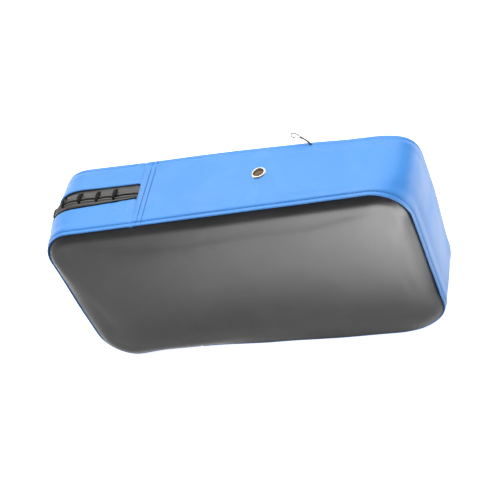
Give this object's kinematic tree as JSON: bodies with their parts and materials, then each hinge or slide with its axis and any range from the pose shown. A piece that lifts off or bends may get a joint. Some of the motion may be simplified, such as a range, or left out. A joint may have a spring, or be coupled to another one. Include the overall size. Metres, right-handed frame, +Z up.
{
  "type": "thai pad",
  "caption": "Rectangular striking pad with a crowned black leather face, a blue laced casing, a hand grip and forearm straps.",
  "frame": {"origin": "on the flat lower long wall, halfway along the pad and midway through its depth there", "axes": "+X along the pad's length towards the end without lacing, -Y out of the striking face, +Z up with the pad standing on its lower long wall"},
  "size_m": [0.4, 0.174, 0.2023],
  "materials": {
    "blue_leather": "satin grained",
    "black_leather": "satin grained",
    "lace": "waxed cord",
    "soft_foam": "open-cell foam",
    "firm_foam": "closed-cell foam",
    "board": "matte sheet",
    "nickel": "polished nickel plate",
    "gauze": "dark wire gauze",
    "rope": "twisted rope",
    "loop_tape": "soft loop pile",
    "hook_tape": "stiff hook tape"
  },
  "bodies": {
    "root": {"side_wall": "blue_leather", "closure_wall_front": "blue_leather", "closure_wall_back": "blue_leather", "back_panel": "blue_leather", "face_panel": "black_leather", "closure_facing_front": "black_leather", "closure_facing_back": "black_leather", "closure_tongue": "black_leather", "forearm_cushion": "black_leather", "handle_grip": "black_leather", "handle_tab_upper": "black_leather", "handle_tab_lower": "black_leather", "closure_lace": "lace", "foam_front": "soft_foam", "foam_back": "soft_foam", "foam_middle": "firm_foam", "backing_board": "board", "vent_eyelet": "nickel", "vent_washer": "nickel", "vent_screen": "gauze", "handle_core": "rope", "wrist_strap_lower": "black_leather", "wrist_strap_root": "black_leather", "wrist_strap_patch_upper": "black_leather", "wrist_strap_patch_lower": "black_leather", "wrist_strap_loop_tape": "loop_tape", "wrist_strap_patch_upper_rivet_a": "nickel", "wrist_strap_patch_upper_rivet_b": "nickel", "wrist_strap_patch_lower_rivet_a": "nickel", "wrist_strap_patch_lower_rivet_b": "nickel", "elbow_strap_lower": "black_leather", "elbow_strap_root": "black_leather", "elbow_strap_patch_upper": "black_leather", "elbow_strap_patch_lower": "black_leather", "elbow_strap_loop_tape": "loop_tape", "elbow_strap_patch_upper_rivet_a": "nickel", "elbow_strap_patch_upper_rivet_b": "nickel", "elbow_strap_patch_lower_rivet_a": "nickel", "elbow_strap_patch_lower_rivet_b": "nickel", "handle_tab_upper_rivet_a": "nickel", "handle_tab_upper_rivet_b": "nickel", "handle_tab_lower_rivet_a": "nickel", "handle_tab_lower_rivet_b": "nickel"},
    "wrist_strap_flap_body": {"wrist_strap_flap": "black_leather", "wrist_strap_hook_tape": "hook_tape"},
    "elbow_strap_flap_body": {"elbow_strap_flap": "black_leather", "elbow_strap_hook_tape": "hook_tape"}
  },
  "joints": [
    {"name": "wrist_strap_open", "type": "hinge", "parent": "root", "child": "wrist_strap_flap_body", "pos_m": [0.03503, 0.04632, 0.1725], "axis": [0.999, -0.045, 0], "range_deg": [0, 95]},
    {"name": "elbow_strap_open", "type": "hinge", "parent": "root", "child": "elbow_strap_flap_body", "pos_m": [-0.08485, 0.05172, 0.1725], "axis": [0.999, -0.045, 0], "range_deg": [0, 95]}
  ]
}
